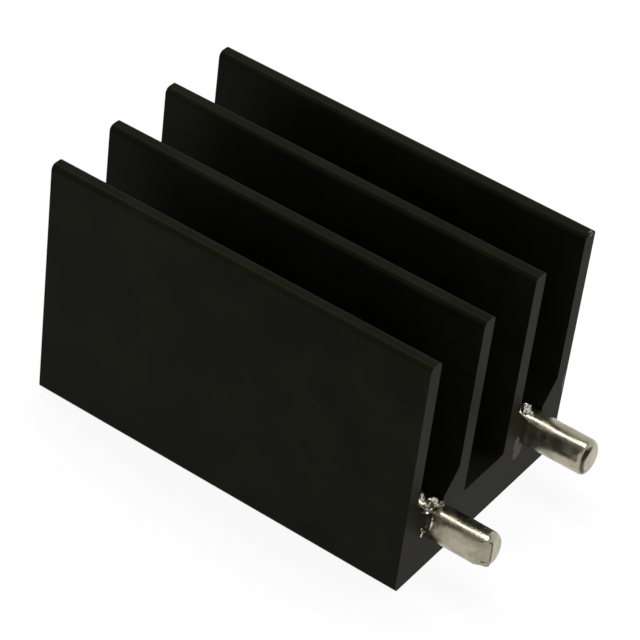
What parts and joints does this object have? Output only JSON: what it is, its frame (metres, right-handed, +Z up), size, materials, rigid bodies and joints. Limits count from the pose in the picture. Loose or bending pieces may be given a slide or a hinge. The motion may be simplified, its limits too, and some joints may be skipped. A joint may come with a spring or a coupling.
{
  "type": "board-level plate fin heat sink",
  "caption": "Black anodised extruded heat sink with parallel plate fins on a flat device face and tinned solder pins that stand it upright on a circuit board.",
  "frame": {"origin": "middle of the device face, the flat underside of the base, measured on the extrusion without its pins", "axes": "+X along the extrusion to the pin end, +Y across the fins, +Z up through the fins from the device face"},
  "size_m": [0.0294, 0.0162, 0.0162],
  "materials": {
    "black_anodised": "black anodised, satin",
    "tinned_pin": "tin plated, slightly stained"
  },
  "bodies": {
    "root": {"heat_sink": "black_anodised", "solder_pin_left": "tinned_pin", "solder_pin_right": "tinned_pin"}
  },
  "joints": []
}
